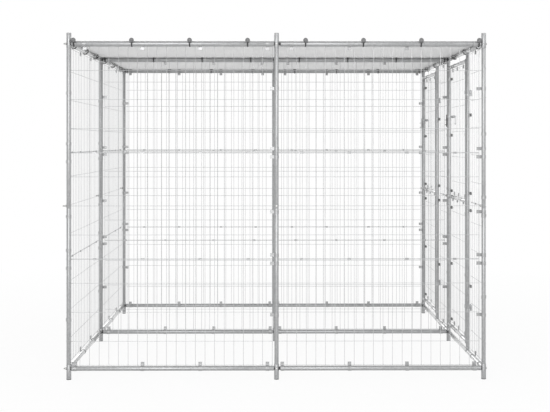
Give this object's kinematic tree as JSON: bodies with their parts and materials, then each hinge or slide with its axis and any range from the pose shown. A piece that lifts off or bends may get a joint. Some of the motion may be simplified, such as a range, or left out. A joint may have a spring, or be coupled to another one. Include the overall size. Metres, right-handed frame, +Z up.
{
  "type": "outdoor dog kennel",
  "caption": "Free-standing kennel of galvanised tube and welded wire mesh under a stretched sheet roof, with a partition between its runs and a hinged, latched door to each.",
  "frame": {"origin": "on the ground under the middle post, at the centre of the plan", "axes": "+X to the right, towards the door wall; +Y to the rear; +Z up"},
  "size_m": [2.2452, 2.2394, 1.82],
  "materials": {
    "galvanised_tube": "satin galvanised",
    "mesh_wire": "bright galvanised wire",
    "clip_steel": "pressed zinc-plated strip",
    "fastener_steel": "zinc plated",
    "hinge_steel": "galvanised",
    "latch_steel": "dark satin",
    "insert_plastic": "moulded",
    "foot_plastic": "moulded",
    "cap_plastic": "moulded",
    "roof_cloth": "coated woven sheet",
    "bungee_cord": "braided",
    "bungee_ball": "moulded"
  },
  "bodies": {
    "frame": {"front_left_post": "galvanised_tube", "front_centre_post": "galvanised_tube", "front_right_post": "galvanised_tube", "middle_left_post": "galvanised_tube", "middle_centre_post": "galvanised_tube", "middle_right_post": "galvanised_tube", "rear_left_post": "galvanised_tube", "rear_centre_post": "galvanised_tube", "rear_right_post": "galvanised_tube", "front_rails": "galvanised_tube", "partition_rails": "galvanised_tube", "rear_rails": "galvanised_tube", "left_rails": "galvanised_tube", "right_rails": "galvanised_tube", "front_door_jamb": "galvanised_tube", "rear_door_jamb": "galvanised_tube", "post_connectors": "galvanised_tube", "post_joint_spigots": "galvanised_tube", "front_left_mesh": "mesh_wire", "front_right_mesh": "mesh_wire", "partition_left_mesh": "mesh_wire", "partition_right_mesh": "mesh_wire", "rear_left_mesh": "mesh_wire", "rear_right_mesh": "mesh_wire", "left_front_mesh": "mesh_wire", "left_rear_mesh": "mesh_wire", "right_front_mesh": "mesh_wire", "right_rear_mesh": "mesh_wire", "post_clips": "clip_steel", "rail_clips": "clip_steel", "mesh_tie_clips": "clip_steel", "wall_clip_screws": "fastener_steel", "frame_bolts": "fastener_steel", "frame_nuts": "fastener_steel", "hinge_pintles": "hinge_steel", "latch_keepers": "hinge_steel", "latch_backing_plates": "latch_steel", "rail_end_inserts": "insert_plastic", "post_feet": "foot_plastic", "post_caps": "cap_plastic", "front_roof_sheet": "roof_cloth", "rear_roof_sheet": "roof_cloth", "bungee_loops": "bungee_cord", "bungee_balls": "bungee_ball"},
    "front_door": {"front_door_frame": "galvanised_tube", "front_door_mesh": "mesh_wire", "front_door_clips": "clip_steel", "front_door_clip_screws": "fastener_steel", "front_door_hinge_eyes": "hinge_steel", "front_door_latch_guide": "hinge_steel"},
    "front_latch": {"front_latch_bolt": "latch_steel"},
    "rear_door": {"rear_door_frame": "galvanised_tube", "rear_door_mesh": "mesh_wire", "rear_door_clips": "clip_steel", "rear_door_clip_screws": "fastener_steel", "rear_door_hinge_eyes": "hinge_steel", "rear_door_latch_guide": "hinge_steel"},
    "rear_latch": {"rear_latch_bolt": "latch_steel"}
  },
  "joints": [
    {"name": "front_door_swing", "type": "hinge", "parent": "frame", "child": "front_door", "pos_m": [1.109, -0.631, 0.3], "axis": [0, 0, -1], "range_deg": [0, 115]},
    {"name": "front_latch_slide", "type": "slide", "parent": "front_door", "child": "front_latch", "axis": [0, 1, 0], "range_m": [0, 0.032]},
    {"name": "rear_door_swing", "type": "hinge", "parent": "frame", "child": "rear_door", "pos_m": [1.109, 0.459, 0.3], "axis": [0, 0, -1], "range_deg": [0, 115]},
    {"name": "rear_latch_slide", "type": "slide", "parent": "rear_door", "child": "rear_latch", "axis": [0, 1, 0], "range_m": [0, 0.032]}
  ]
}
